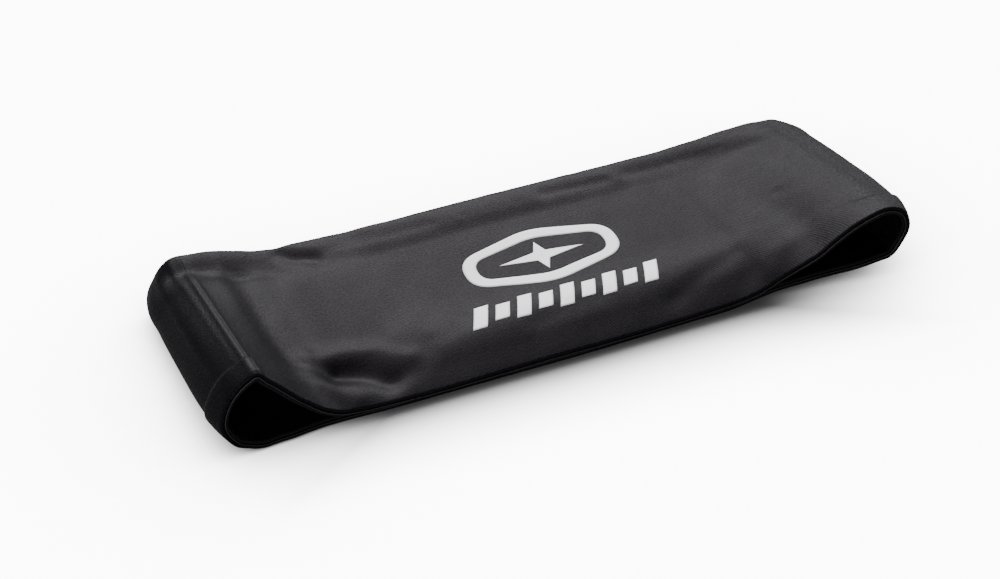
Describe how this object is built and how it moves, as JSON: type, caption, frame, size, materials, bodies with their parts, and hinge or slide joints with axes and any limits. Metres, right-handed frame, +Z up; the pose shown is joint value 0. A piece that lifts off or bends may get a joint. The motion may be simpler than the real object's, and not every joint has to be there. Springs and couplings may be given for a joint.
{
  "type": "headband",
  "caption": "Wide stretch-knit athletic headband lying flattened: a two-ply sewn loop with turned edges, side seams and a printed emblem on the front.",
  "frame": {"origin": "centre of the band's footprint, on the plane it rests on", "axes": "+X along the flattened band from the ridged side seam towards the other end, +Y across the band from the pinched edge to the open edge, +Z up"},
  "size_m": [0.246, 0.0818, 0.0294],
  "materials": {
    "front_shell_knit": "satin stretch knit",
    "back_shell_knit": "satin stretch knit",
    "front_lining_knit": "matt stretch knit",
    "back_lining_knit": "matt stretch knit",
    "near_edge_seam_thread_polyester": "polyester sewing thread",
    "far_edge_seam_thread_polyester": "polyester sewing thread",
    "left_side_seam_thread_polyester": "polyester sewing thread",
    "right_side_seam_thread_polyester": "polyester sewing thread",
    "emblem_ring_film": "satin heat-transfer film",
    "emblem_star_film": "satin heat-transfer film",
    "emblem_bar_01_film": "satin heat-transfer film",
    "emblem_bar_02_film": "satin heat-transfer film",
    "emblem_bar_03_film": "satin heat-transfer film",
    "emblem_bar_04_film": "satin heat-transfer film",
    "emblem_bar_05_film": "satin heat-transfer film",
    "emblem_bar_06_film": "satin heat-transfer film",
    "emblem_bar_07_film": "satin heat-transfer film",
    "emblem_bar_08_film": "satin heat-transfer film",
    "emblem_bar_09_film": "satin heat-transfer film"
  },
  "bodies": {
    "root": {"front_shell": "front_shell_knit", "back_shell": "back_shell_knit", "front_lining": "front_lining_knit", "back_lining": "back_lining_knit", "near_edge_seam_thread": "near_edge_seam_thread_polyester", "far_edge_seam_thread": "far_edge_seam_thread_polyester", "left_side_seam_thread": "left_side_seam_thread_polyester", "right_side_seam_thread": "right_side_seam_thread_polyester", "emblem_ring": "emblem_ring_film", "emblem_star": "emblem_star_film", "emblem_bar_01": "emblem_bar_01_film", "emblem_bar_02": "emblem_bar_02_film", "emblem_bar_03": "emblem_bar_03_film", "emblem_bar_04": "emblem_bar_04_film", "emblem_bar_05": "emblem_bar_05_film", "emblem_bar_06": "emblem_bar_06_film", "emblem_bar_07": "emblem_bar_07_film", "emblem_bar_08": "emblem_bar_08_film", "emblem_bar_09": "emblem_bar_09_film"}
  },
  "joints": []
}
